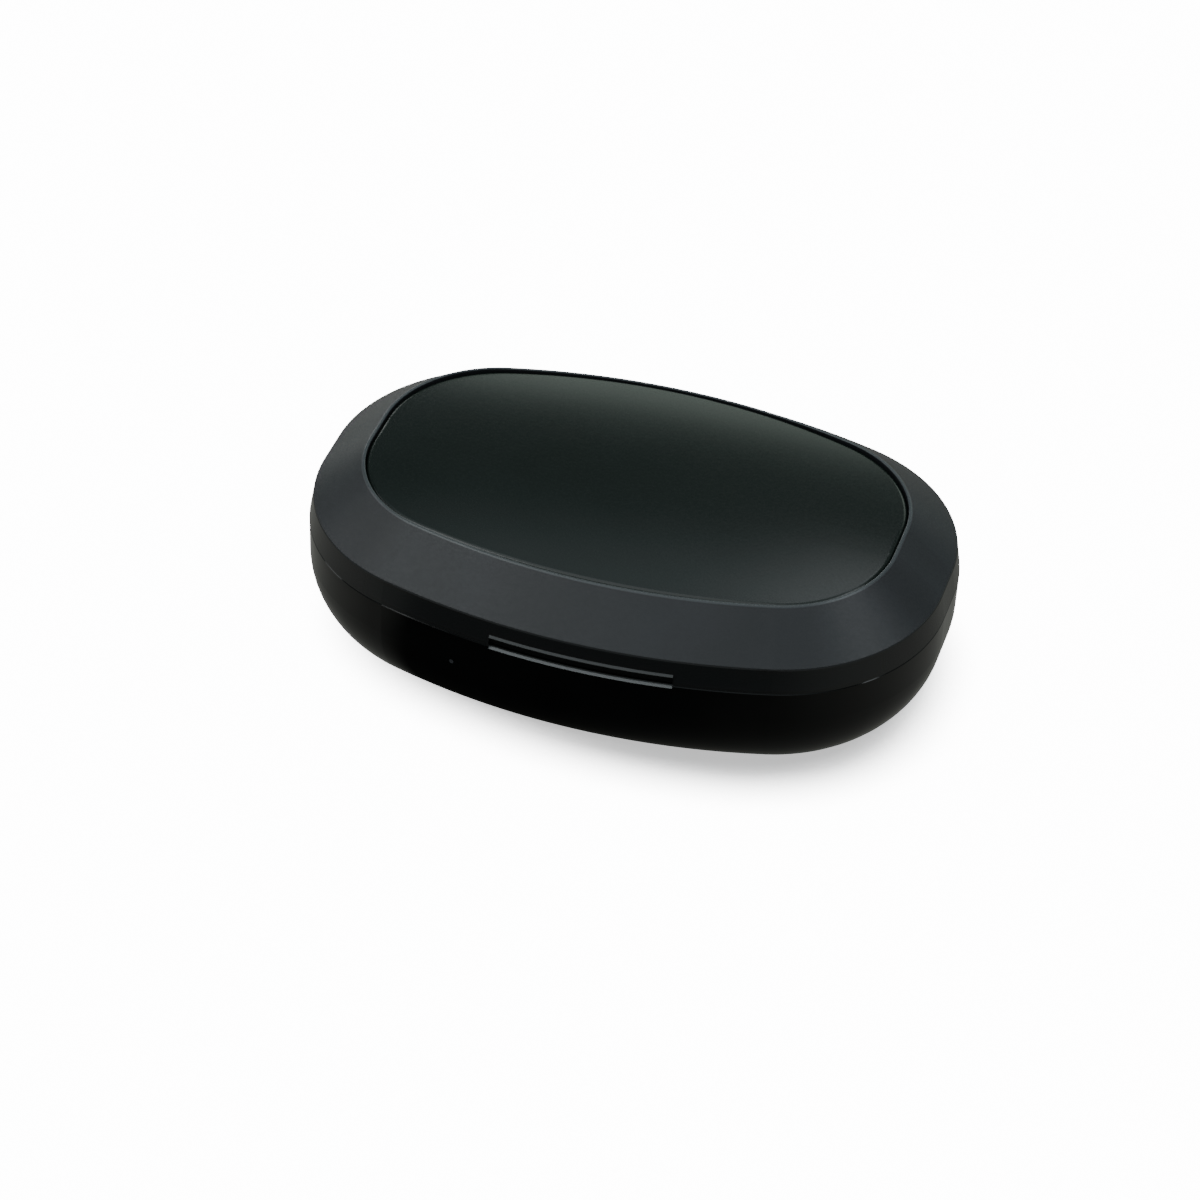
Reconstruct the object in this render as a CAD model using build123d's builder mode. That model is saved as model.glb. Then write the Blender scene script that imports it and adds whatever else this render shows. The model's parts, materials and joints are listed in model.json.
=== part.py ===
from build123d import *
from math import atan2, degrees, sqrt
import os

# Charging case for a pair of wireless earbuds with ear hooks, standing closed.
# Millimetres. The origin is under the middle of the flat foot, +X runs along the case,
# -Y is the side that opens, with the finger notch, and +Z is up.

os.makedirs("parts", exist_ok=True)

# ---------------------------------------------------------------- driving dimensions
# Plan outline: two long side arcs, four corner arcs tangent to them, and straight ends. Every
# smaller outline has the same centres, with its radii drawn in by an inset.
case_length = 98.9          # along X, at the parting line
case_width = 67.0           # along Y, at the parting line
side_radius = 106.0
end_straight = 6.4          # along Y, between the two corner arcs of one end

# Base: a bowl with upright walls that roll under to a flat foot.
base_height = 18.8          # foot to parting line
base_draft = 0.5            # degrees
roll_radius = 13.5
wall = 1.8                  # outer wall of base and lid at their rims
floor = 1.6                 # base floor
ledge_width = 0.8           # step inside each rim that carries the tray or the liner
rim_chamfer = 0.1           # along the parting line, on both halves

# Lid: an upright band, a flat slope up to a lip, and a crowned panel inside the lip.
band_height = 4.1
band_inset = 0.65           # how far the band leans in over its height
crease_round = 0.4
slope_rise = 5.85
slope_run = 7.5
lip_width = 0.35
lip_round = 0.15
recess_depth = 2.0          # lip to the floor of the panel's recess
roof = 1.4                  # lid shell under the recess

# Top panel
panel_gap = 0.12            # round the panel, in the recess
panel_step = 0.15           # lip top down to the panel's edge, before its rounding
panel_crown = 1.75          # rise of the panel's middle over its edge
panel_round = 0.8           # along the panel's edge
panel_thickness = 1.3
panel_rim = 3.4             # width of the panel's flat seat, which the tape holds down
tape_thickness = 0.2
tape_margin = 0.4           # tape in from the panel's edge

# Finger notch, at the front of the parting line: a slot in the lid with a fine bead along its
# upper edge, over a bevel on the base's rim
notch_length = 28.0
notch_offset = 2.0          # to the right of the case's middle
notch_height = 1.6
notch_depth = 0.9
notch_bevel = 0.45
bead_height = 0.55
bevel_angle = 45.0          # of the bevel and of the bead's upper side

# Tray, which drops into the base, and its two wells
seat_clearance = 0.1        # round the tray and the liner, in their rims
tray_drop = 0.6             # parting line down to the tray's top
tray_thickness = 1.4
tray_edge_round = 0.5       # every edge of the tray's top
well_corner_round = 1.5     # upright corners where a well's two hollows meet
cup_wall = 1.0
body_length = 33.5          # earbud body, lying in its well
body_width = 22.6
bud_clearance = 0.4
body_end_gap = 2.3          # from the body's cup to the base's cavity, at the case's end
body_front_gap = 9.2        # the same, at the front
pocket_depth = 8.5
pocket_round = 3.0
hook_width = 7.2
hook_spacing = 3.2          # between the two wells' hook cups, at the case's middle
hook_end_gap = 3.25         # from the hook's cup to the base's cavity, at the case's end
hook_rear_gap = 3.9         # the same, at the rear
hook_overrun = 28.0         # degrees that the arc runs on past its half circle, into the body
limb_radius = 220.0         # the hook's long free limb, on the side towards the middle
limb_sweep = 6.0            # degrees
groove_depth = 6.5
groove_round = 2.0

# Liner inside the lid
liner_drop = 0.6            # lid rim up to the liner's flange
liner_flange = 1.2
liner_wall = 1.0
hollow_inset = 7.4          # hollow over the earbuds, in from the parting line
hollow_draft = 22.0         # degrees
hollow_depth = 4.6
hollow_round = 2.0
liner_edge_round = 0.5      # every edge of the liner's underside

# Hinge, along the back of the parting line
hinge_margin = 0.5          # hinge past the stretch of wall that stands behind its axis
hinge_setback = 1.0         # axis in from the rear wall's outer face
knuckle_radius = 1.7
knuckle_count = 5           # odd ones out, the ends included, belong to the base
knuckle_gap = 0.25
trough_clearance = 0.3      # round the knuckles of the other half
hinge_block = 1.2           # material round the trough
pin_radius = 0.75
pin_setback = 0.3           # pin's end in from the end of the hinge
pin_fit = 0.01              # in the base's knuckles
pin_running_fit = 0.05      # in the lid's knuckles

# Electronics in the base
pcb_thickness = 0.8
pcb_height = 5.6            # underside, above the foot
pcb_inset = 5.6             # board edge in from the parting line
pcb_rear_setback = 11.0     # rear edge in from the parting line, apart from the socket's tongue
pcb_tongue_setback = 6.1
pcb_tongue_width = 14.0
pcb_window_rear = 6.5       # rear edge of the opening round the battery
pcb_window_width = 44.6
pcb_hole_fit = 0.2
chips = [                   # size and x of each chip on the board, and how far it is from the rear edge
    ((4.0, 4.0, 0.9), -10.0, 8.5),
    ((5.0, 5.0, 0.9), 0.0, 9.5),
    ((4.0, 4.0, 1.8), 9.5, 9.5),
    ((2.0, 1.3, 0.8), -24.0, 13.5),
    ((2.0, 1.3, 0.8), 24.0, 13.5),
]
pcb_front = -15.0           # front ends of the two arms beside the battery
pcb_end_setback = 17.4      # ends of the board in from the parting line
pcb_screw_x = 17.0
pcb_screw_setback = 4.0     # screws in from the board's rear edge
screw_radius = 0.7
screw_length = 3.2
screw_head_radius = 1.3
screw_head = 0.7
screw_drive = 0.9
screw_fit = 0.02
boss_radius = 2.2
battery_length = 40.0
battery_width = 24.0
battery_thickness = 4.8
battery_y = -7.0
battery_round = 1.0
battery_gap = 0.4           # to its ribs
battery_tab_width = 3.0
battery_tab_thickness = 0.2
battery_tab_spacing = 12.0
battery_tab_overlap = 2.0   # on the board
pad_thickness = 0.4
pad_length = 34.0
pad_width = 18.0
rib_length = 12.0
rib_width = 1.2
rib_height = 3.0

usb_width = 8.94
usb_height = 3.16
usb_length = 7.35
usb_sheet = 0.3
usb_setback = 1.8           # mouth in from the rear of the parting line
usb_port_clearance = 0.25
usb_port_reach = 3.0        # cut through the rear wall, each way from the mouth
usb_tongue_width = 6.69
usb_tongue_thickness = 0.7
usb_tongue_length = 4.45
usb_block_length = 2.0
usb_fit = 0.02

contact_offset = 1.1        # spring contacts from the middle of the body, towards the case's end
contact_pitch = 4.5
contact_reach = 1.0         # tip above the pocket's floor
contact_travel = 0.8
barrel_radius = 1.0
barrel_fit = 0.03
barrel_bore = 0.75
barrel_mouth = 0.6
barrel_mouth_length = 0.3
barrel_base = 0.35
plunger_fit = 0.05
plunger_body = 0.8
tip_rounding = 0.9          # share of the tip's radius that its dome takes
spring_wall = 0.15

led_x = -18.0
led_drop = 5.3              # below the parting line
led_pipe_radius = 0.35
led_pipe_fit = 0.02
led_pipe_length = 4.6       # inner end of the light pipe in from the front of the parting line
led_size = (1.6, 0.6, 0.8)
led_gap = 0.2
hall_size = (2.9, 1.0, 1.3)
hall_lift = 0.6             # underside of the sensor above the light's axis
indicator_board_size = (9.0, 0.8, 5.4)
indicator_post = 1.6
indicator_post_depth = 2.6
indicator_fit = 0.05

# Magnets
closing_magnet = (7.0, 2.4, 2.4)
closing_magnet_x = 8.0
closing_magnet_setback = 5.3
closing_magnet_skin = 0.6   # plastic between a closing magnet and the gap between the halves
magnet_fit = 0.05
magnet_fence = 0.6
bud_magnet_radius = 2.5
bud_magnet_height = 1.4
bud_magnet_offset = 9.1     # from the middle of the body, towards the case's end

# ---------------------------------------------------------------- derived places
half_length = case_length / 2
half_width = case_width / 2
side_centre = half_width - side_radius
corner_y = end_straight / 2
corner_radius = (side_radius**2 - half_length**2 - (corner_y - side_centre) ** 2) / (
    2 * (side_radius - half_length)
)
corner_x = half_length - corner_radius
corner_sweep = degrees(atan2(corner_y - side_centre, corner_x))
parting = base_height
crease = parting + band_height
lip = crease + slope_rise
lip_inset = band_inset + slope_run
recess_floor = lip - recess_depth
roof_underside = recess_floor - roof
ledge = parting - tray_drop - tray_thickness
tray_top = parting - tray_drop
liner_bottom = parting + liner_drop
liner_ledge = liner_bottom + liner_flange
cavity_inset = wall + ledge_width
seat_inset = wall + seat_clearance
cup_offset = bud_clearance + cup_wall
body_x = half_length - cavity_inset - body_end_gap - cup_offset - body_length / 2
body_y = -(half_width - cavity_inset - body_front_gap - cup_offset - body_width / 2)
hook_reach = (half_length - cavity_inset - hook_end_gap - hook_spacing / 2) / 2
hook_radius = hook_reach - cup_offset - hook_width / 2
hook_x = hook_spacing / 2 + hook_reach
hook_y = half_width - cavity_inset - hook_rear_gap - hook_reach
contact_x = body_x + contact_offset
bud_magnet_x = body_x + bud_magnet_offset
closing_magnet_y = closing_magnet_setback - half_width
pcb_rear = half_width - pcb_rear_setback
pcb_tongue_rear = half_width - pcb_tongue_setback
pcb_half_width = half_length - pcb_end_setback
led_pipe_end = half_width - led_pipe_length
hinge_y = half_width - hinge_setback
hinge_length = 2 * (sqrt(side_radius**2 - (side_radius - hinge_setback) ** 2) + hinge_margin)
pin_length = hinge_length - 2 * pin_setback
led_height = parting - led_drop
slope_angle = degrees(atan2(slope_run, slope_rise))
slope_length = sqrt(slope_rise**2 + slope_run**2)
trough_radius = knuckle_radius + trough_clearance
block_reach = trough_radius + hinge_block
pcb_top = pcb_height + pcb_thickness
battery_bottom = floor + pad_thickness
pocket_floor = tray_top - pocket_depth
pocket_underside = pocket_floor - cup_wall
hollow_ceiling = liner_bottom + hollow_depth
panel_seat = recess_floor + tape_thickness
panel_edge = lip - panel_step
panel_inset = lip_inset + lip_width + panel_gap
usb_mouth = half_width - usb_setback
usb_middle = pcb_top + usb_height / 2
indicator_y = -led_pipe_end + led_gap + led_size[1] + indicator_board_size[1] / 2
lid_magnet_bottom = liner_bottom + closing_magnet_skin
base_magnet_bottom = tray_top - closing_magnet_skin - closing_magnet[2]
plunger_top = pocket_floor - barrel_mouth_length


# ---------------------------------------------------------------- shared shapes
def section(height, inset):
    """Face of the case's outline at one height, drawn in from the parting line by inset."""
    with BuildSketch(Plane.XY.offset(height)) as sketch:
        with BuildLine():
            for side, turn in ((1, 0), (-1, 180)):
                side_start = turn + corner_sweep
                CenterArc((0, side * side_centre), side_radius - inset, side_start, 180 - 2 * corner_sweep)
                near = (side * corner_x, side * corner_y)
                far = (-side * corner_x, side * corner_y)
                CenterArc(near, corner_radius - inset, turn, corner_sweep)
                CenterArc(far, corner_radius - inset, turn + 180 - corner_sweep, corner_sweep)
                end = side * (half_length - inset)
                Line((end, -corner_y), (end, corner_y))
        make_face()
    return sketch.sketch


def bowl(top, bottom, inset, roll):
    """Solid with nearly upright walls, rolled under to a flat foot."""
    with BuildPart() as solid:
        extrude(section(top, inset), amount=bottom - top, taper=base_draft)
        fillet(solid.faces().sort_by(Axis.Z)[0].edges(), roll)
    return solid.part


def slope_height(inset, thickness):
    """Height at which the surface a thickness under the lid's slope has an inset."""
    return crease + ((inset - band_inset) * slope_rise - thickness * slope_length) / slope_run


def sunk(sketch, bottom, corner):
    """Solid from the tray's top down to bottom, with a rounded edge at its floor."""
    with BuildPart() as solid:
        extrude(sketch, amount=bottom - tray_top)
        fillet(solid.faces().sort_by(Axis.Z)[0].edges(), corner)
    return solid.part


def body_plan(grow):
    """Plan of the earbud body in the +X well."""
    with BuildSketch(Plane.XY.offset(tray_top)) as sketch:
        with Locations((body_x, body_y)):
            SlotOverall(body_length + 2 * grow, body_width + 2 * grow)
    return sketch.sketch


def hook_plan(grow):
    """Plan of the ear hook in the +X well: its arc, then the free limb towards the middle."""
    arc = CenterArc((hook_x, hook_y), hook_radius, -hook_overrun, 180 + hook_overrun)
    limb_centre = (hook_x - hook_radius + limb_radius, hook_y)
    limb = CenterArc(limb_centre, limb_radius, 180, limb_sweep)
    with BuildSketch(Plane.XY.offset(tray_top)) as sketch:
        SlotArc(arc, hook_width + 2 * grow)
        SlotArc(limb, hook_width + 2 * grow)
    return sketch.sketch


def both_sides(solid, mode):
    """A solid and its mirror image across the case's middle."""
    add(solid, mode=mode)
    mirror(solid, about=Plane.YZ, mode=mode)


def along_hinge(radius, length, x=0.0):
    """Cylinder on the hinge axis."""
    with BuildPart() as solid:
        with BuildSketch(Plane.YZ.offset(x - length / 2)):
            with Locations((hinge_y, parting)):
                Circle(radius)
        extrude(amount=length)
    return solid.part


def hinge_room(bottom, top, grow=0.0):
    """Block that carries the hinge on the inside of the rear wall."""
    with BuildPart() as solid:
        with BuildSketch(Plane.XY.offset(bottom)):
            with Locations((0, hinge_y)):
                Rectangle(hinge_length + 2 * (hinge_block + grow), 2 * (block_reach + grow))
        extrude(amount=top - bottom)
    return solid.part


def hinge_leaf(first, direction, bore):
    """Every second knuckle, each with a web that ties it forward to its own half, bored."""
    pitch = hinge_length / knuckle_count
    length = pitch - knuckle_gap
    web_height = parting + direction * trough_radius / 2
    with BuildPart() as solid:
        for index in range(first, knuckle_count, 2):
            x = (index + 0.5) * pitch - hinge_length / 2
            add(along_hinge(knuckle_radius, length, x))
            with BuildSketch(Plane.YZ.offset(x - length / 2)):
                with Locations((hinge_y - trough_radius / 2, web_height)):
                    Rectangle(trough_radius, trough_radius)
            extrude(amount=length)
        add(along_hinge(bore, pin_length), mode=Mode.SUBTRACT)
    return solid.part


def front_strip(bottom, height, outer, inner, outer_taper=0.0, inner_taper=0.0):
    """Strip of the front wall between two outlines, as long as the finger notch."""
    with BuildPart() as solid:
        extrude(section(bottom, outer), amount=height, taper=outer_taper)
        extrude(section(bottom, inner), amount=height, taper=inner_taper, mode=Mode.SUBTRACT)
        with BuildSketch(Plane.XY.offset(bottom)):
            with Locations((notch_offset, -half_width)):
                Rectangle(notch_length, half_width)
        extrude(amount=height, mode=Mode.INTERSECT)
    return solid.part


def crowned(bottom, top, inset):
    """Solid on the outline whose top is a barrel, equally high at its ends and its sides."""
    long_radius = ((half_length - panel_inset) ** 2 + panel_crown**2) / (2 * panel_crown)
    cross_radius = ((half_width - panel_inset) ** 2 + panel_crown**2) / (2 * panel_crown)
    sag = long_radius - sqrt(long_radius**2 - half_length**2)
    with BuildPart() as solid:
        extrude(section(bottom, inset), amount=top - bottom)
        with BuildSketch(Plane.XZ):
            with BuildLine():
                over = ThreePointArc((-half_length, top - sag), (0, top), (half_length, top - sag))
                axis_height = top - cross_radius
                Polyline(over @ 1, (half_length, axis_height), (-half_length, axis_height), over @ 0)
            make_face()
        revolve(axis=Axis((0, 0, axis_height), (1, 0, 0)), mode=Mode.INTERSECT)
    return solid.part


def dome(bottom, top, inset, corner):
    """Drafted solid under the lid, with a rounded edge round its top."""
    with BuildPart() as solid:
        extrude(section(bottom, inset), amount=top - bottom, taper=hollow_draft)
        fillet(solid.faces().sort_by(Axis.Z)[-1].edges(), corner)
    return solid.part


def socket_plan(grow):
    """Stadium on the plane of the USB-C socket's mouth."""
    mouth = Plane(origin=(0, usb_mouth, usb_middle), x_dir=(1, 0, 0), z_dir=(0, 1, 0))
    with BuildSketch(mouth) as sketch:
        SlotOverall(usb_width + 2 * grow, usb_height + 2 * grow)
    return sketch.sketch


def slab(size, x, y, bottom):
    """Box with its underside at one height."""
    with BuildPart() as solid:
        with Locations((x, y, bottom)):
            Box(*size, align=(Align.CENTER, Align.CENTER, Align.MIN))
    return solid.part


def pipe(radius):
    """Cylinder from behind the status light's window out through the front wall."""
    with BuildPart() as solid:
        with BuildSketch(Plane.XZ.offset(led_pipe_end)):
            with Locations((led_x, led_height)):
                Circle(radius)
        extrude(amount=half_width - led_pipe_end)
    return solid.part


def post(radius, height, x, y, bottom):
    """Upright cylinder standing at one height."""
    with BuildPart() as solid:
        with Locations((x, y, bottom)):
            Cylinder(radius, height, align=(Align.CENTER, Align.CENTER, Align.MIN))
    return solid.part


screw_places = [(side * pcb_screw_x, pcb_rear - pcb_screw_setback) for side in (-1, 1)]
contact_places = [
    (side * contact_x, body_y + row * contact_pitch / 2) for side in (-1, 1) for row in (-1, 1)
]

# ---------------------------------------------------------------- base shell
base_form = bowl(parting, 0, 0, roll_radius)

# What is moulded onto the inside of the base is left standing in its cavity.
with BuildPart() as base_cavity:
    add(bowl(ledge, floor, cavity_inset, roll_radius - cavity_inset))
    add(hinge_room(parting - block_reach, parting), mode=Mode.SUBTRACT)
    for x, y in screw_places:
        add(post(boss_radius, pcb_height, x, y, 0), mode=Mode.SUBTRACT)
    for side in (-1, 1):
        rib_x = side * (battery_length / 2 + battery_gap + rib_width / 2)
        rib = slab((rib_width, rib_length, rib_height), rib_x, battery_y, floor)
        add(rib, mode=Mode.SUBTRACT)
        post_x = led_x + side * indicator_board_size[0] / 2
        post_height = led_height + indicator_board_size[2] / 2
        indicator_rib = slab((indicator_post, 2 * indicator_post_depth, post_height), post_x, indicator_y, 0)
        add(indicator_rib, mode=Mode.SUBTRACT)

with BuildPart() as tray_recess:
    extrude(section(ledge, wall), amount=parting - ledge)
    add(hinge_room(ledge, parting), mode=Mode.SUBTRACT)

with BuildPart() as base_shell:
    add(base_form)
    chamfer(base_shell.faces().sort_by(Axis.Z)[-1].edges(), rim_chamfer)
    add(base_cavity.part, mode=Mode.SUBTRACT)
    add(tray_recess.part, mode=Mode.SUBTRACT)
    add(along_hinge(trough_radius, hinge_length), mode=Mode.SUBTRACT)
    add(hinge_leaf(0, -1, pin_radius + pin_fit))
    rim_bevel = front_strip(parting - notch_bevel, notch_bevel, -notch_depth, 0, inner_taper=bevel_angle)
    add(rim_bevel, mode=Mode.SUBTRACT)
    extrude(socket_plan(usb_port_clearance), amount=usb_port_reach, both=True, mode=Mode.SUBTRACT)
    for x, y in screw_places:
        hole = post(screw_radius + screw_fit, screw_length, x, y, pcb_top - screw_length)
        add(hole, mode=Mode.SUBTRACT)
    slot_size = [size + 2 * indicator_fit for size in indicator_board_size]
    slot_bottom = led_height - indicator_board_size[2] / 2
    add(slab(slot_size, led_x, indicator_y, slot_bottom), mode=Mode.SUBTRACT)
    add(pipe(led_pipe_radius + led_pipe_fit), mode=Mode.SUBTRACT)
base_shell.part.label = "base_shell"
export_step(base_shell.part, "parts/base_shell.step")

# ---------------------------------------------------------------- tray with the two wells
groove_floor = tray_top - groove_depth
cups = [
    sunk(body_plan(bud_clearance + cup_wall), pocket_underside, pocket_round + cup_wall),
    sunk(hook_plan(bud_clearance + cup_wall), groove_floor - cup_wall, groove_round + cup_wall),
]
with BuildPart() as well:
    add(sunk(body_plan(bud_clearance), pocket_floor, pocket_round))
    add(sunk(hook_plan(bud_clearance), groove_floor, groove_round))
    fillet(well.edges().filter_by(Axis.Z), well_corner_round)
fence = 2 * (magnet_fence + magnet_fit)
closing_fence = (closing_magnet[0] + fence, closing_magnet[1] + fence)
closing_hole = [size + 2 * magnet_fit for size in closing_magnet]
closing_hole[2] = closing_magnet[2]

with BuildPart() as cradle_tray:
    extrude(section(ledge, seat_inset), amount=tray_thickness)
    for cup in cups:
        both_sides(cup, Mode.ADD)
    both_sides(well.part, Mode.SUBTRACT)
    fillet(cradle_tray.edges().filter_by_position(Axis.Z, tray_top, tray_top), tray_edge_round)
    for side in (-1, 1):
        fence_size = (*closing_fence, ledge - base_magnet_bottom)
        add(slab(fence_size, side * closing_magnet_x, closing_magnet_y, base_magnet_bottom))
        ring_bottom = pocket_underside - bud_magnet_height
        ring_radius = bud_magnet_radius + magnet_fit + magnet_fence
        add(post(ring_radius, bud_magnet_height, side * bud_magnet_x, body_y, ring_bottom))
    for side in (-1, 1):
        magnet_x = side * closing_magnet_x
        add(slab(closing_hole, magnet_x, closing_magnet_y, base_magnet_bottom), mode=Mode.SUBTRACT)
        hole = post(
            bud_magnet_radius + magnet_fit, bud_magnet_height, side * bud_magnet_x, body_y, ring_bottom
        )
        add(hole, mode=Mode.SUBTRACT)
    for x, y in contact_places:
        add(post(barrel_radius + barrel_fit, cup_wall, x, y, pocket_underside), mode=Mode.SUBTRACT)
    add(hinge_room(ledge, parting, 2 * seat_clearance), mode=Mode.SUBTRACT)
cradle_tray.part.label = "cradle_tray"
export_step(cradle_tray.part, "parts/cradle_tray.step")

# ---------------------------------------------------------------- lid shell
with BuildPart() as lid_cavity:
    slope_start = slope_height(cavity_inset, wall)
    extrude(section(parting, wall), amount=liner_ledge - parting)
    extrude(section(liner_ledge, cavity_inset), amount=slope_start - liner_ledge)
    extrude(section(slope_start, cavity_inset), amount=roof_underside - slope_start, taper=slope_angle)
    add(hinge_room(parting, parting + block_reach), mode=Mode.SUBTRACT)

with BuildPart() as lid_shell:
    band_angle = degrees(atan2(band_inset, band_height))
    extrude(section(parting, 0), amount=band_height, taper=band_angle)
    extrude(section(crease, band_inset), amount=slope_rise, taper=slope_angle)
    fillet(lid_shell.edges().filter_by_position(Axis.Z, crease, crease), crease_round)
    chamfer(lid_shell.faces().sort_by(Axis.Z)[0].edges(), rim_chamfer)
    extrude(section(recess_floor, lip_inset + lip_width), amount=recess_depth, mode=Mode.SUBTRACT)
    fillet(lid_shell.edges().group_by(Axis.Z)[-1], lip_round)
    add(lid_cavity.part, mode=Mode.SUBTRACT)
    add(along_hinge(trough_radius, hinge_length), mode=Mode.SUBTRACT)
    add(hinge_leaf(1, 1, pin_radius + pin_running_fit))
    bead = front_strip(parting + notch_height, bead_height, 0, notch_depth, outer_taper=bevel_angle)
    add(bead)
    add(front_strip(parting, notch_height, -notch_depth, notch_depth), mode=Mode.SUBTRACT)
lid_shell.part.label = "lid_shell"
export_step(lid_shell.part, "parts/lid_shell.step")

# ---------------------------------------------------------------- top panel and its tape
with BuildPart() as lid_panel:
    add(crowned(panel_seat, panel_edge + panel_crown, panel_inset))
    fillet(lid_panel.faces().sort_by(Axis.Z)[-1].edges(), panel_round)
    underside = panel_edge + panel_crown - panel_thickness
    add(crowned(panel_seat, underside, panel_inset + panel_rim), mode=Mode.SUBTRACT)
lid_panel.part.label = "lid_panel"
export_step(lid_panel.part, "parts/lid_panel.step")

with BuildPart() as panel_tape:
    extrude(section(recess_floor, panel_inset + tape_margin), amount=tape_thickness)
    extrude(section(recess_floor, panel_inset + panel_rim), amount=tape_thickness, mode=Mode.SUBTRACT)
panel_tape.part.label = "panel_tape"
export_step(panel_tape.part, "parts/panel_tape.step")

# ---------------------------------------------------------------- lid liner
with BuildPart() as lid_liner:
    extrude(section(liner_bottom, seat_inset), amount=liner_flange)
    cup_top = hollow_ceiling + liner_wall
    add(dome(liner_bottom, cup_top, hollow_inset - liner_wall, hollow_round + liner_wall))
    for side in (-1, 1):
        fence_size = (*closing_fence, liner_ledge + closing_magnet[2] / 2 - lid_magnet_bottom)
        add(slab(fence_size, side * closing_magnet_x, closing_magnet_y, lid_magnet_bottom))
    add(dome(liner_bottom, hollow_ceiling, hollow_inset, hollow_round), mode=Mode.SUBTRACT)
    fillet(lid_liner.edges().filter_by_position(Axis.Z, liner_bottom, liner_bottom), liner_edge_round)
    for side in (-1, 1):
        magnet_x = side * closing_magnet_x
        add(slab(closing_hole, magnet_x, closing_magnet_y, lid_magnet_bottom), mode=Mode.SUBTRACT)
    liner_cut = hinge_room(parting, parting + block_reach, 2 * seat_clearance)
    add(liner_cut, mode=Mode.SUBTRACT)
lid_liner.part.label = "lid_liner"
export_step(lid_liner.part, "parts/lid_liner.step")

# ---------------------------------------------------------------- hinge pin
hinge_pin = along_hinge(pin_radius, pin_length)
hinge_pin.label = "hinge_pin"
export_step(hinge_pin, "parts/hinge_pin.step")

# ---------------------------------------------------------------- magnets
with BuildPart() as base_magnets:
    for side in (-1, 1):
        add(slab(closing_magnet, side * closing_magnet_x, closing_magnet_y, base_magnet_bottom))
base_magnets.part.label = "base_magnets"
export_step(base_magnets.part, "parts/base_magnets.step")

with BuildPart() as lid_magnets:
    for side in (-1, 1):
        add(slab(closing_magnet, side * closing_magnet_x, closing_magnet_y, lid_magnet_bottom))
lid_magnets.part.label = "lid_magnets"
export_step(lid_magnets.part, "parts/lid_magnets.step")

with BuildPart() as bud_magnets:
    for side in (-1, 1):
        magnet_bottom = pocket_underside - bud_magnet_height
        add(post(bud_magnet_radius, bud_magnet_height, side * bud_magnet_x, body_y, magnet_bottom))
bud_magnets.part.label = "bud_magnets"
export_step(bud_magnets.part, "parts/bud_magnets.step")

# ---------------------------------------------------------------- main board
with BuildPart() as main_pcb:
    with BuildSketch(Plane.XY.offset(pcb_height)):
        board_span = pcb_rear - pcb_front
        with Locations((0, (pcb_rear + pcb_front) / 2)):
            Rectangle(2 * pcb_half_width, board_span)
        with Locations((0, pcb_tongue_rear / 2)):
            Rectangle(pcb_tongue_width, pcb_tongue_rear)
        add(section(pcb_height, pcb_inset), mode=Mode.INTERSECT)
        with Locations((0, pcb_window_rear - half_width / 2)):
            Rectangle(pcb_window_width, half_width, mode=Mode.SUBTRACT)
        with Locations(*screw_places):
            Circle(screw_radius + pcb_hole_fit, mode=Mode.SUBTRACT)
    extrude(amount=pcb_thickness)
main_pcb.part.label = "main_pcb"
export_step(main_pcb.part, "parts/main_pcb.step")

with BuildPart() as pcb_chips:
    for size, x, setback in chips:
        add(slab(size, x, pcb_rear - setback, pcb_top))
pcb_chips.part.label = "pcb_chips"
export_step(pcb_chips.part, "parts/pcb_chips.step")

with BuildPart() as pcb_screws:
    for x, y in screw_places:
        add(post(screw_radius, screw_length, x, y, pcb_top - screw_length))
        add(post(screw_head_radius, screw_head, x, y, pcb_top))
        recess = slab((screw_drive, screw_drive, screw_head / 2), x, y, pcb_top + screw_head / 2)
        add(recess, mode=Mode.SUBTRACT)
pcb_screws.part.label = "pcb_screws"
export_step(pcb_screws.part, "parts/pcb_screws.step")

# ---------------------------------------------------------------- charging socket
with BuildPart() as usb_socket_shell:
    extrude(socket_plan(0), amount=-usb_length)
    extrude(socket_plan(-usb_sheet), amount=-usb_length, mode=Mode.SUBTRACT)
usb_socket_shell.part.label = "usb_socket_shell"
export_step(usb_socket_shell.part, "parts/usb_socket_shell.step")

with BuildPart() as usb_socket_core:
    rear = Plane(origin=(0, usb_mouth - usb_length, usb_middle), x_dir=(1, 0, 0), z_dir=(0, 1, 0))
    with BuildSketch(rear):
        width = usb_width - 2 * (usb_sheet + usb_fit)
        SlotOverall(width, usb_height - 2 * (usb_sheet + usb_fit))
    extrude(amount=usb_block_length)
    with BuildSketch(rear):
        Rectangle(usb_tongue_width, usb_tongue_thickness)
    extrude(amount=usb_block_length + usb_tongue_length)
usb_socket_core.part.label = "usb_socket_core"
export_step(usb_socket_core.part, "parts/usb_socket_core.step")

# ---------------------------------------------------------------- battery
with BuildPart() as battery_pad:
    add(slab((pad_length, pad_width, pad_thickness), 0, battery_y, floor))
battery_pad.part.label = "battery_pad"
export_step(battery_pad.part, "parts/battery_pad.step")

with BuildPart() as battery_cell:
    add(slab((battery_length, battery_width, battery_thickness), 0, battery_y, battery_bottom))
    fillet(battery_cell.edges().filter_by(Axis.X), battery_round)
battery_cell.part.label = "battery_cell"
export_step(battery_cell.part, "parts/battery_cell.step")

with BuildPart() as battery_tabs:
    tab_start = battery_y + battery_width / 2
    tab_length = pcb_window_rear + battery_tab_overlap - tab_start
    for side in (-1, 1):
        tab_size = (battery_tab_width, tab_length, battery_tab_thickness)
        add(slab(tab_size, side * battery_tab_spacing / 2, tab_start + tab_length / 2, pcb_top))
battery_tabs.part.label = "battery_tabs"
export_step(battery_tabs.part, "parts/battery_tabs.step")

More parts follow.
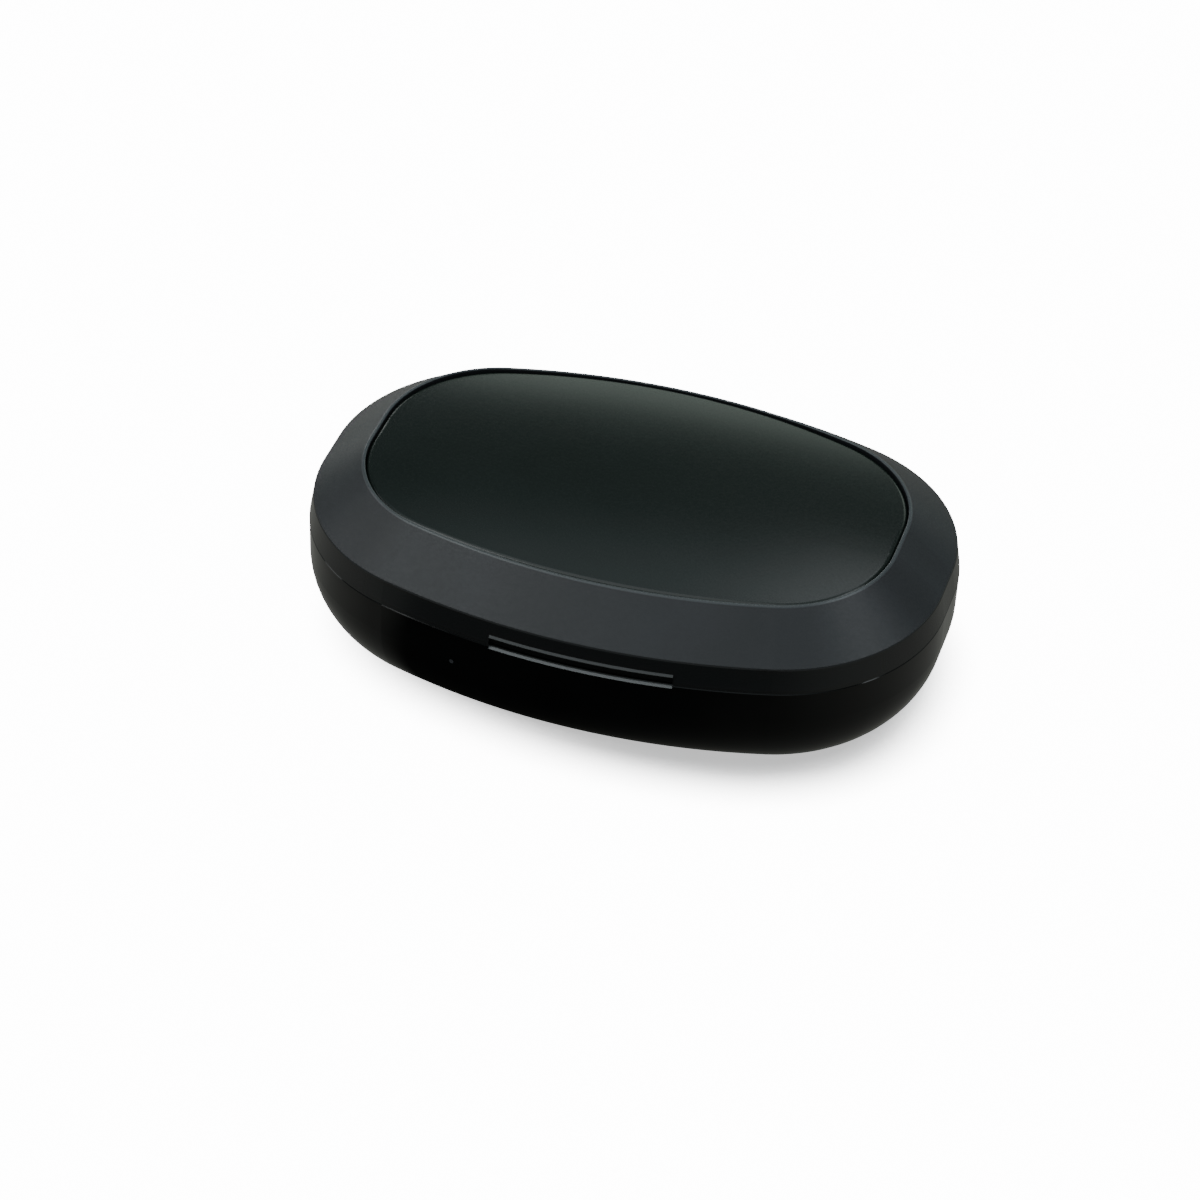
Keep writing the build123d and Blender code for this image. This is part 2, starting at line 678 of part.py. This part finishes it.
# ---------------------------------------------------------------- status light and lid sensor
with BuildPart() as light_pipe:
    add(base_form)
    add(pipe(led_pipe_radius), mode=Mode.INTERSECT)
light_pipe.part.label = "light_pipe"
export_step(light_pipe.part, "parts/light_pipe.step")

with BuildPart() as indicator_board:
    add(slab(indicator_board_size, led_x, indicator_y, slot_bottom))
indicator_board.part.label = "indicator_board"
export_step(indicator_board.part, "parts/indicator_board.step")

board_front = indicator_y - indicator_board_size[1] / 2
with BuildPart() as status_led:
    add(slab(led_size, led_x, board_front - led_size[1] / 2, led_height - led_size[2] / 2))
status_led.part.label = "status_led"
export_step(status_led.part, "parts/status_led.step")

with BuildPart() as hall_sensor:
    hall_y = indicator_y + (indicator_board_size[1] + hall_size[1]) / 2
    add(slab(hall_size, led_x, hall_y, led_height + hall_lift))
hall_sensor.part.label = "hall_sensor"
export_step(hall_sensor.part, "parts/hall_sensor.step")

# ---------------------------------------------------------------- spring contacts
with BuildPart() as contact_barrels:
    barrel_length = pocket_floor - pcb_top
    for x, y in contact_places:
        add(post(barrel_radius, barrel_length, x, y, pcb_top))
        bore_length = barrel_length - barrel_base - barrel_mouth_length
        add(post(barrel_bore, bore_length, x, y, pcb_top + barrel_base), mode=Mode.SUBTRACT)
        add(post(barrel_mouth, barrel_mouth_length, x, y, plunger_top), mode=Mode.SUBTRACT)
contact_barrels.part.label = "contact_barrels"
export_step(contact_barrels.part, "parts/contact_barrels.step")

plunger_radius = barrel_bore - plunger_fit
tip_radius = barrel_mouth - plunger_fit
for number, (x, y) in enumerate(contact_places, 1):
    with BuildPart() as contact_plunger:
        add(post(plunger_radius, plunger_body, x, y, plunger_top - plunger_body))
        tip_length = barrel_mouth_length + contact_reach
        add(post(tip_radius, tip_length, x, y, plunger_top))
        fillet(contact_plunger.edges().sort_by(Axis.Z)[-1], tip_radius * tip_rounding)
    contact_plunger.part.label = f"contact_plunger_{number}"
    export_step(contact_plunger.part, f"parts/contact_plunger_{number}.step")

    with BuildPart() as contact_spring:
        spring_bottom = pcb_top + barrel_base
        spring_length = plunger_top - plunger_body - spring_bottom
        add(post(plunger_radius, spring_length, x, y, spring_bottom))
        add(post(plunger_radius - spring_wall, spring_length, x, y, spring_bottom), mode=Mode.SUBTRACT)
    contact_spring.part.label = f"contact_spring_{number}"
    export_step(contact_spring.part, f"parts/contact_spring_{number}.step")
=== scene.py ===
import json
from math import cos, pi, radians, sin

import bpy
from mathutils import Matrix, Vector


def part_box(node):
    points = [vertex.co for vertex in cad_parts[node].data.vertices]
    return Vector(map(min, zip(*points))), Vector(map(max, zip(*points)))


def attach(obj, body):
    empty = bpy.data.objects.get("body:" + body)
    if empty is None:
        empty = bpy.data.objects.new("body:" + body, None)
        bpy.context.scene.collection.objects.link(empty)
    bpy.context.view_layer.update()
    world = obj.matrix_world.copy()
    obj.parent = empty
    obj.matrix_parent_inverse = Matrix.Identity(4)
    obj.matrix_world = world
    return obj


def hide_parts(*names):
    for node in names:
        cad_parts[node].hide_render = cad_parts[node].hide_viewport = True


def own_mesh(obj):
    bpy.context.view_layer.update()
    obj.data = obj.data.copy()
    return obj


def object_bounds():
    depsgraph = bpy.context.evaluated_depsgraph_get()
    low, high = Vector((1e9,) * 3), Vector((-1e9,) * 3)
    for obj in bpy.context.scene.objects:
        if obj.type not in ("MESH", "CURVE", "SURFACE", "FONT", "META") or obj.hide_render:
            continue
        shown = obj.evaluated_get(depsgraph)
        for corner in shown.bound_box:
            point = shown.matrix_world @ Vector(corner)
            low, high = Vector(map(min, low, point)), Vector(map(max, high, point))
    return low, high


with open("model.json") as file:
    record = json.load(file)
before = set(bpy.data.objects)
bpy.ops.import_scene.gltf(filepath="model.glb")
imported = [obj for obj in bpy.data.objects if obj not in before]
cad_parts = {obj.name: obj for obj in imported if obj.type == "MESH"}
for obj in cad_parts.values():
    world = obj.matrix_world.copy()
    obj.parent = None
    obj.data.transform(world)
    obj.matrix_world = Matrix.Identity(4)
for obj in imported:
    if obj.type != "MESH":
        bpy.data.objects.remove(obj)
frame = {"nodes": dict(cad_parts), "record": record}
cad_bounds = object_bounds()
nodes = frame["nodes"]


def grey(value):
    return (value, value, value)


# ---------------------------------------------------------------- camera
# The camera looks from the front and a little to the right, from above, with a slight roll.
CAMERA_AZIMUTH = radians(16.167)
CAMERA_ELEVATION = radians(38.697)
CAMERA_ROLL = radians(2.595)
CAMERA_DISTANCE = 0.6204
CAMERA_LENS = 122.6          # lens and sensor in millimetres
SENSOR_WIDTH = 36.0
NEAR_CLIP = 0.01
CASE_RIGHT = 0.00509         # how far right and up of the view's middle the case's middle is
CASE_UP = 0.00990
BASE_HEIGHT = 0.0188         # from the foot to the parting line
PARTING_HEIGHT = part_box("base_shell")[0][2] + BASE_HEIGHT


def make_camera():
    azimuth, elevation, roll = CAMERA_AZIMUTH, CAMERA_ELEVATION, CAMERA_ROLL
    back = Vector((sin(azimuth) * cos(elevation), -cos(azimuth) * cos(elevation), sin(elevation)))
    level_right = Vector((cos(azimuth), sin(azimuth), 0))
    level_up = back.cross(level_right)
    right = cos(roll) * level_right + sin(roll) * level_up
    up = -sin(roll) * level_right + cos(roll) * level_up
    aim = Vector((0, 0, PARTING_HEIGHT)) - CASE_RIGHT * right - CASE_UP * up
    place = aim + CAMERA_DISTANCE * back
    data = bpy.data.cameras.new("camera")
    data.lens = CAMERA_LENS
    data.sensor_width = SENSOR_WIDTH
    data.clip_start = NEAR_CLIP
    camera = bpy.data.objects.new("camera", data)
    axes = Matrix((right, up, back)).transposed().to_4x4()
    camera.matrix_world = Matrix.Translation(place) @ axes
    bpy.context.scene.collection.objects.link(camera)
    bpy.context.scene.camera = camera


make_camera()

# ---------------------------------------------------------------- studio
PLANE_SIZE = 6.0
PLANE_ROUGHNESS = 0.9
FLOOR_DROP = 0.00005         # floor and table below the case's foot
TABLE_DROP = 0.0002
FLOOR_COLOR = grey(0.93)
FLOOR_GLOW = 14.0            # keeps the floor near white at the exposure the dark case needs
SHADOW_GLOW = 0.70           # what is left of it where the shadow is deepest
SHADOW_REACH = 0.010         # how far from the case the floor's soft shadow starts
SHADOW_FULL = 0.3            # open share of the sky at which the shadow is deepest
SHADOW_FILL = 0.30           # share of the sky that light from the left gives back
SHADOW_FILL_START, SHADOW_FILL_END = 0.030, -0.045       # along X
# Studio brightness by height, from the horizon (0) to straight up (1): a dim wall, a dark band
# above it and a soft bright ceiling.
STUDIO_STEPS = [(0.0, 0.35), (0.35, 0.25), (0.50, 0.12), (0.66, 0.09), (0.82, 0.70), (0.95, 0.60)]
STUDIO_TINT = (0.84, 0.95, 1.0)
# What the glossy wall reflects is the table round the case: dark at the front and close to the
# case, lit from the right and from behind.
TABLE_COLOR = grey(0.01)
TABLE_TINT = (0.97, 1.0, 0.92)
TABLE_DARK = 0.010
TABLE_GLOW = 0.22
TABLE_TURN = radians(37)     # the lit side's direction, from +X towards +Y
TABLE_START, TABLE_END = -0.030, 0.060
# At the left it is lit too, but only beyond an edge: distances from the case's middle, in
# decimetres, and glow.
TABLE_LEFT_TURN = radians(144)
TABLE_LEFT_STEPS = [(0.055, 0.0), (0.145, 0.175), (0.30, 0.22), (0.70, 0.27)]
DECIMETRES = 10.0            # in a metre


def link(tree, source, target):
    tree.links.new(source, target)


def ramp(tree, source, low, high, low_value, high_value):
    """Maps a value's range low to high onto low_value to high_value, smoothly."""
    node = tree.nodes.new("ShaderNodeMapRange")
    node.interpolation_type = "SMOOTHSTEP"
    node.inputs["From Min"].default_value = low
    node.inputs["From Max"].default_value = high
    node.inputs["To Min"].default_value = low_value
    node.inputs["To Max"].default_value = high_value
    link(tree, source, node.inputs["Value"])
    return node.outputs["Result"]


def stepped(tree, source, steps):
    """Maps a value from 0 to 1 onto a soft run of grey steps."""
    node = tree.nodes.new("ShaderNodeValToRGB")
    node.color_ramp.interpolation = "EASE"
    elements = node.color_ramp.elements
    while len(elements) < len(steps):
        elements.new(1.0)
    for element, (level, value) in zip(elements, steps):
        element.position = level
        element.color = (*grey(value), 1)
    link(tree, source, node.inputs["Fac"])
    return node.outputs["Color"]


def distance_along(tree, turn, scale=1.0):
    """Distance from the case's middle along a level direction, turned from +X towards +Y."""
    place = tree.nodes.new("ShaderNodeTexCoord").outputs["Object"]
    towards = tree.nodes.new("ShaderNodeVectorMath")
    towards.operation = "DOT_PRODUCT"
    towards.inputs[1].default_value = (scale * cos(turn), scale * sin(turn), 0)
    link(tree, place, towards.inputs[0])
    return towards.outputs["Value"]


def combined(tree, operation, first, second):
    node = tree.nodes.new("ShaderNodeMath")
    node.operation = operation
    link(tree, first, node.inputs[0])
    link(tree, second, node.inputs[1])
    return node.outputs[0]


def make_world():
    """The studio that lights the case; the camera sees the floor's own white behind it."""
    world = bpy.data.worlds.new("studio")
    bpy.context.scene.world = world
    world.use_nodes = True
    tree = world.node_tree
    tree.nodes.clear()
    output = tree.nodes.new("ShaderNodeOutputWorld")
    seen = tree.nodes.new("ShaderNodeBackground")
    seen.inputs["Strength"].default_value = FLOOR_GLOW
    lit = tree.nodes.new("ShaderNodeBackground")
    lit.inputs["Color"].default_value = (*STUDIO_TINT, 1)
    direction = tree.nodes.new("ShaderNodeSeparateXYZ")
    link(tree, tree.nodes.new("ShaderNodeTexCoord").outputs["Generated"], direction.inputs[0])
    link(tree, stepped(tree, direction.outputs["Z"], STUDIO_STEPS), lit.inputs["Strength"])
    rays = tree.nodes.new("ShaderNodeLightPath")
    mix = tree.nodes.new("ShaderNodeMixShader")
    link(tree, rays.outputs["Is Camera Ray"], mix.inputs[0])
    link(tree, lit.outputs[0], mix.inputs[1])
    link(tree, seen.outputs[0], mix.inputs[2])
    link(tree, mix.outputs[0], output.inputs["Surface"])


def area_light(name, size, place, power, color):
    """Softbox that faces the case's foot."""
    data = bpy.data.lights.new(name, "AREA")
    data.shape = "RECTANGLE"
    data.size, data.size_y = size
    data.energy = power
    data.color = color
    light = bpy.data.objects.new(name, data)
    light.location = place
    light.rotation_euler = (-Vector(place)).to_track_quat("-Z", "Y").to_euler()
    bpy.context.scene.collection.objects.link(light)


def plane(name, height):
    """Level plane of the stage, with its material's tree and shader."""
    half = PLANE_SIZE / 2
    mesh = bpy.data.meshes.new(name)
    corners = [(-half, -half), (half, -half), (half, half), (-half, half)]
    mesh.from_pydata([(*corner, height) for corner in corners], [], [(0, 1, 2, 3)])
    piece = bpy.data.objects.new(name, mesh)
    bpy.context.scene.collection.objects.link(piece)
    material = bpy.data.materials.new(name)
    material.use_nodes = True
    shader = material.node_tree.nodes["Principled BSDF"]
    shader.inputs["Specular IOR Level"].default_value = 0.0
    shader.inputs["Roughness"].default_value = PLANE_ROUGHNESS
    mesh.materials.append(material)
    return piece, material.node_tree, shader


def make_floor():
    """The pale floor that the camera sees, with a soft shadow where the case is near."""
    floor, tree, shader = plane("floor", cad_bounds[0][2] - FLOOR_DROP)
    floor.visible_glossy = False
    floor.visible_diffuse = False
    shader.inputs["Base Color"].default_value = (*FLOOR_COLOR, 1)
    shader.inputs["Emission Color"].default_value = (1, 1, 1, 1)
    nearness = tree.nodes.new("ShaderNodeAmbientOcclusion")
    nearness.inputs["Distance"].default_value = SHADOW_REACH
    across = distance_along(tree, 0.0)
    fill = ramp(tree, across, SHADOW_FILL_END, SHADOW_FILL_START, SHADOW_FILL, 0)
    open_sky = combined(tree, "ADD", nearness.outputs["AO"], fill)
    glow = ramp(tree, open_sky, SHADOW_FULL, 1.0, SHADOW_GLOW, FLOOR_GLOW)
    link(tree, glow, shader.inputs["Emission Strength"])


def make_table():
    """The dim table that only the case's own surfaces see."""
    table, tree, shader = plane("table", cad_bounds[0][2] - TABLE_DROP)
    table.visible_camera = False
    table.visible_shadow = False
    shader.inputs["Base Color"].default_value = (*TABLE_COLOR, 1)
    shader.inputs["Emission Color"].default_value = (*TABLE_TINT, 1)
    towards_right = distance_along(tree, TABLE_TURN)
    right = ramp(tree, towards_right, TABLE_START, TABLE_END, TABLE_DARK, TABLE_GLOW)
    towards_left = distance_along(tree, TABLE_LEFT_TURN, DECIMETRES)
    left = stepped(tree, towards_left, TABLE_LEFT_STEPS)
    link(tree, combined(tree, "MAXIMUM", right, left), shader.inputs["Emission Strength"])


make_world()
make_floor()
make_table()
SOFTBOXES = [                # name, width and height, place, watts, colour
    ("overhead", (1.2, 1.2), (-0.3, -0.2, 1.5), 3.4, (0.96, 0.98, 1.0)),
    ("high_rear", (0.6, 0.4), (0.18, 0.92, 1.18), 0.9, (0.94, 0.97, 1.0)),
    ("behind", (1.3, 0.4), (0.05, 1.45, 0.48), 1.55, (0.85, 1.0, 0.86)),
    ("front_left", (0.7, 0.6), (-0.86, -0.42, 1.16), 2.7, (0.97, 1.0, 1.0)),
    ("right", (0.6, 0.6), (1.03, 0.08, 1.09), 2.9, (0.90, 0.96, 1.0)),
    ("left", (0.6, 0.5), (-1.35, 0.05, 0.72), 1.5, (0.96, 0.98, 1.0)),
    ("left_rear", (0.7, 0.4), (-0.90, 1.30, 0.20), 2.0, (0.95, 1.0, 0.97)),
]
for softbox in SOFTBOXES:
    area_light(*softbox)

# ---------------------------------------------------------------- materials
MILLIMETRES = 1000.0         # in a metre
NOISE_LOW, NOISE_HIGH = 0.3, 0.7     # the values that noise mostly stays between
MOTTLE_SIZE, SMUDGE_SIZE = 12.0, 9.0     # millimetres
MOTTLE_DETAIL, GRAIN_DETAIL, SMUDGE_DETAIL = 3, 2, 4
MOTTLE_BREAKUP, GRAIN_BREAKUP, SMUDGE_BREAKUP = 0.5, 0.6, 0.55   # weight of the finer detail
SMUDGE_LOW, SMUDGE_HIGH = 0.52, 0.75
NO_RELIEF = 0.5              # the height of a surface without grain
ZONE_BLEND = 0.05            # half the width, in millimetres, of the blend at a zone's edge
UPWARD_LOW, UPWARD_HIGH = 0.35, 0.55     # share of the normal at which a face faces up


def noise(tree, place, size, detail, breakup):
    node = tree.nodes.new("ShaderNodeTexNoise")
    node.inputs["Scale"].default_value = MILLIMETRES / size
    node.inputs["Detail"].default_value = detail
    node.inputs["Roughness"].default_value = breakup
    link(tree, place, node.inputs["Vector"])
    return node.outputs["Fac"]


def mixed(tree, factor, first, second):
    """Mixes two colours or two values; either may be a plain number, a colour or a socket."""
    node = tree.nodes.new("ShaderNodeMix")
    is_color = any(isinstance(entry, tuple) for entry in (first, second))
    node.data_type = "RGBA" if is_color else "FLOAT"
    for name, entry in (("A", first), ("B", second)):
        place = [socket for socket in node.inputs if socket.name == name and socket.enabled][0]
        if isinstance(entry, bpy.types.NodeSocket):
            link(tree, entry, place)
        else:
            place.default_value = (*entry, 1) if is_color else entry
    link(tree, factor, node.inputs["Factor"])
    return [socket for socket in node.outputs if socket.enabled][0]


def in_zone(tree, place, zone):
    """1 where the surface lies between two heights and, if asked, faces up; 0 elsewhere."""
    split = tree.nodes.new("ShaderNodeSeparateXYZ")
    link(tree, place, split.inputs[0])
    steps = []
    for height, value_below, value_above in zip(zone["heights"], (0, 1), (1, 0)):
        start, end = (height - ZONE_BLEND) / MILLIMETRES, (height + ZONE_BLEND) / MILLIMETRES
        steps.append(ramp(tree, split.outputs["Z"], start, end, value_below, value_above))
    inside = combined(tree, "MULTIPLY", *steps)
    # Facing up keeps a painted highlight to the faces that catch the light from above.
    if zone["faces_up"]:
        turned = tree.nodes.new("ShaderNodeSeparateXYZ")
        link(tree, tree.nodes.new("ShaderNodeTexCoord").outputs["Normal"], turned.inputs[0])
        upward = ramp(tree, turned.outputs["Z"], UPWARD_LOW, UPWARD_HIGH, 0, 1)
        inside = combined(tree, "MULTIPLY", inside, upward)
    return inside


def finish(
    name, colors, roughness, grain, bump, metallic=0.0, specular=0.5, smudge=0.0, zones=(),
):
    """Moulded or metal surface: two close colours in a soft mottle, a fine grain that shows in
    the roughness and the bump, and optional soft smudges in the gloss. A zone is a part of the
    surface with another colour and roughness, and no relief; the lighter zones are painted
    highlights, colour that stands in for light. Grain and bump are in millimetres."""
    material = bpy.data.materials.new(name)
    material.use_nodes = True
    tree = material.node_tree
    shader = tree.nodes["Principled BSDF"]
    place = tree.nodes.new("ShaderNodeTexCoord").outputs["Object"]
    soft = noise(tree, place, MOTTLE_SIZE, MOTTLE_DETAIL, MOTTLE_BREAKUP)
    color = mixed(tree, ramp(tree, soft, NOISE_LOW, NOISE_HIGH, 0, 1), *colors)
    fine = noise(tree, place, grain, GRAIN_DETAIL, GRAIN_BREAKUP)
    spread = ramp(tree, fine, NOISE_LOW, NOISE_HIGH, *roughness)
    if smudge:
        wide = noise(tree, place, SMUDGE_SIZE, SMUDGE_DETAIL, SMUDGE_BREAKUP)
        smudges = ramp(tree, wide, SMUDGE_LOW, SMUDGE_HIGH, 0, smudge)
        spread = combined(tree, "ADD", spread, smudges)
    relief = fine
    # Zones: the band's own finish, and painted highlights, lighter colours for caught light.
    for zone in zones:
        inside = in_zone(tree, place, zone)
        color = mixed(tree, inside, color, zone["color"])
        spread = mixed(tree, inside, spread, zone["roughness"])
        relief = mixed(tree, inside, relief, NO_RELIEF)
    link(tree, color, shader.inputs["Base Color"])
    link(tree, spread, shader.inputs["Roughness"])
    shader.inputs["Metallic"].default_value = metallic
    shader.inputs["Specular IOR Level"].default_value = specular
    if bump:
        node = tree.nodes.new("ShaderNodeBump")
        node.inputs["Strength"].default_value = 1.0
        node.inputs["Distance"].default_value = bump / MILLIMETRES
        link(tree, relief, node.inputs["Height"])
        link(tree, node.outputs["Normal"], shader.inputs["Normal"])
    return material


# Zones, with heights in millimetres: the lid's band up to its crease, in a finish of its own;
# and painted highlights, lighter colours for the light caught by the lid's lip, the bead over
# the finger notch, and the notch's bevel on the base's rim.
BAND = {"heights": (0.0, 22.95), "faces_up": False, "color": grey(0.020), "roughness": 0.22}
# Painted highlight on the lid's lip: a lighter colour along it stands in for the light that its
# rounded edge catches.
LIP_PAINTED_HIGHLIGHT = {
    "heights": (28.6, 29.0), "faces_up": False,
    "color": (0.070, 0.080, 0.083), "roughness": 0.26,
}
# Painted highlight on the bead over the finger notch: a lighter colour on its up-facing faces
# stands in for light from above.
BEAD_PAINTED_HIGHLIGHT = {
    "heights": (20.2, 21.2), "faces_up": True,
    "color": (0.08, 0.085, 0.085), "roughness": 0.35,
}
# Painted highlight on the base's rim: a lighter colour on its up-facing faces between these
# heights, the notch's bevel among them, stands in for light from above.
RIM_PAINTED_HIGHLIGHT = {
    "heights": (18.2, 18.66), "faces_up": True,
    "color": (0.27, 0.28, 0.28), "roughness": 0.30,
}

# Two colours, roughness from and to, grain, bump, and what else the finish has.
FINISHES = {
    "base_gloss": (
        [grey(0.004), grey(0.006)], (0.07, 0.10), 0.5, 0.0,
        {"specular": 0.4, "smudge": 0.08, "zones": [RIM_PAINTED_HIGHLIGHT]},
    ),
    "lid_satin": (
        [(0.018, 0.020, 0.022), (0.023, 0.025, 0.028)], (0.38, 0.48), 0.25, 0.004,
        {"zones": [BAND, BEAD_PAINTED_HIGHLIGHT, LIP_PAINTED_HIGHLIGHT]},
    ),
    "panel_satin": (
        [(0.006, 0.012, 0.009), (0.008, 0.014, 0.011)], (0.19, 0.23), 0.3, 0.0, {},
    ),
    "tray_matte": (
        [(0.026, 0.027, 0.028), (0.032, 0.033, 0.034)], (0.48, 0.60), 0.25, 0.008, {},
    ),
    "liner_matte": (
        [(0.024, 0.025, 0.026), (0.030, 0.031, 0.032)], (0.48, 0.60), 0.25, 0.008, {},
    ),
    "tape": ([grey(0.02), grey(0.03)], (0.8, 0.95), 0.4, 0.02, {}),
    "pad": ([(0.09, 0.09, 0.10), (0.12, 0.12, 0.13)], (0.8, 0.95), 0.5, 0.03, {}),
    "steel": ([(0.50, 0.50, 0.51), grey(0.58)], (0.22, 0.34), 0.15, 0.002, {"metallic": 1.0}),
    "magnet": ([(0.66, 0.66, 0.67), grey(0.72)], (0.14, 0.22), 0.4, 0.001, {"metallic": 1.0}),
    "board": ([(0.008, 0.08, 0.04), (0.012, 0.10, 0.05)], (0.28, 0.38), 0.6, 0.004, {}),
    "chip": ([grey(0.018), grey(0.026)], (0.5, 0.65), 0.2, 0.006, {}),
    "gold": (
        [(0.80, 0.56, 0.20), (0.88, 0.66, 0.28)], (0.16, 0.26), 0.2, 0.001, {"metallic": 1.0},
    ),
    "nickel": (
        [(0.60, 0.58, 0.54), (0.66, 0.64, 0.60)], (0.2, 0.3), 0.3, 0.001, {"metallic": 1.0},
    ),
    "socket_plastic": ([grey(0.012), grey(0.018)], (0.4, 0.5), 0.2, 0.003, {}),
    "battery_foil": (
        [(0.60, 0.61, 0.63), (0.68, 0.69, 0.71)], (0.30, 0.42), 0.8, 0.02, {"metallic": 1.0},
    ),
    "light": ([(0.07, 0.075, 0.08), (0.09, 0.095, 0.10)], (0.3, 0.4), 0.2, 0.0, {}),
    "led": ([(0.80, 0.78, 0.66), (0.86, 0.84, 0.74)], (0.15, 0.2), 0.2, 0.0, {}),
}
MATERIALS = {name: finish(name, *basics, **extras) for name, (*basics, extras) in FINISHES.items()}
SLOTS = {entry["node"]: entry["material_slot"] for entry in frame["record"]["subparts"]}

for node, slot_name in SLOTS.items():
    mesh = nodes[node].data
    mesh.materials.clear()
    mesh.materials.append(MATERIALS[slot_name])

# ---------------------------------------------------------------- contact springs
# Each charging contact stands on a coil spring.
CONTACTS = 4
SPRING_WIRE = 0.00015        # diameter
SPRING_GAP = 0.00002         # clear of the barrel's floor and of the tip's foot
SPRING_TURNS = 5             # few enough that the pressed spring isn't solid
SPRING_STEPS = 20            # to a turn
WIRE_SIDES = 8


def coil(name, low, high):
    """Coil of round wire that fills an upright box."""
    middle = (low + high) / 2
    upward = Vector((0, 0, 1))
    wire = SPRING_WIRE / 2
    radius = (high.x - low.x) / 2 - wire
    start = low.z + SPRING_GAP + wire
    rise = high.z - SPRING_GAP - wire - start
    steps = SPRING_TURNS * SPRING_STEPS
    points, faces = [], []
    for step in range(steps + 1):
        angle = 2 * pi * step / SPRING_STEPS
        outward = Vector((cos(angle), sin(angle), 0))
        centre = Vector((middle.x, middle.y, start + rise * step / steps)) + radius * outward
        for side in range(WIRE_SIDES):
            turn = 2 * pi * side / WIRE_SIDES
            points.append(centre + wire * (cos(turn) * outward + sin(turn) * upward))
    for step in range(steps):
        for side in range(WIRE_SIDES):
            first, second = step * WIRE_SIDES, (step + 1) * WIRE_SIDES
            following = (side + 1) % WIRE_SIDES
            faces.append((first + side, second + side, second + following, first + following))
    faces.append(tuple(range(WIRE_SIDES)))
    faces.append(tuple(reversed(range(steps * WIRE_SIDES, (steps + 1) * WIRE_SIDES))))
    mesh = bpy.data.meshes.new(name)
    mesh.from_pydata(points, [], faces)
    mesh.shade_smooth()
    spring = bpy.data.objects.new(name, mesh)
    bpy.context.scene.collection.objects.link(spring)
    return spring


for number in range(1, CONTACTS + 1):
    node = f"contact_spring_{number}"
    low, high = (Vector(corner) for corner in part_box(node))
    slot_name = SLOTS[node]
    spring = coil(f"coil_spring_{number}", low, high)
    spring.data.materials.append(MATERIALS[slot_name])
    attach(spring, "base")
    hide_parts(node)
    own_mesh(spring)
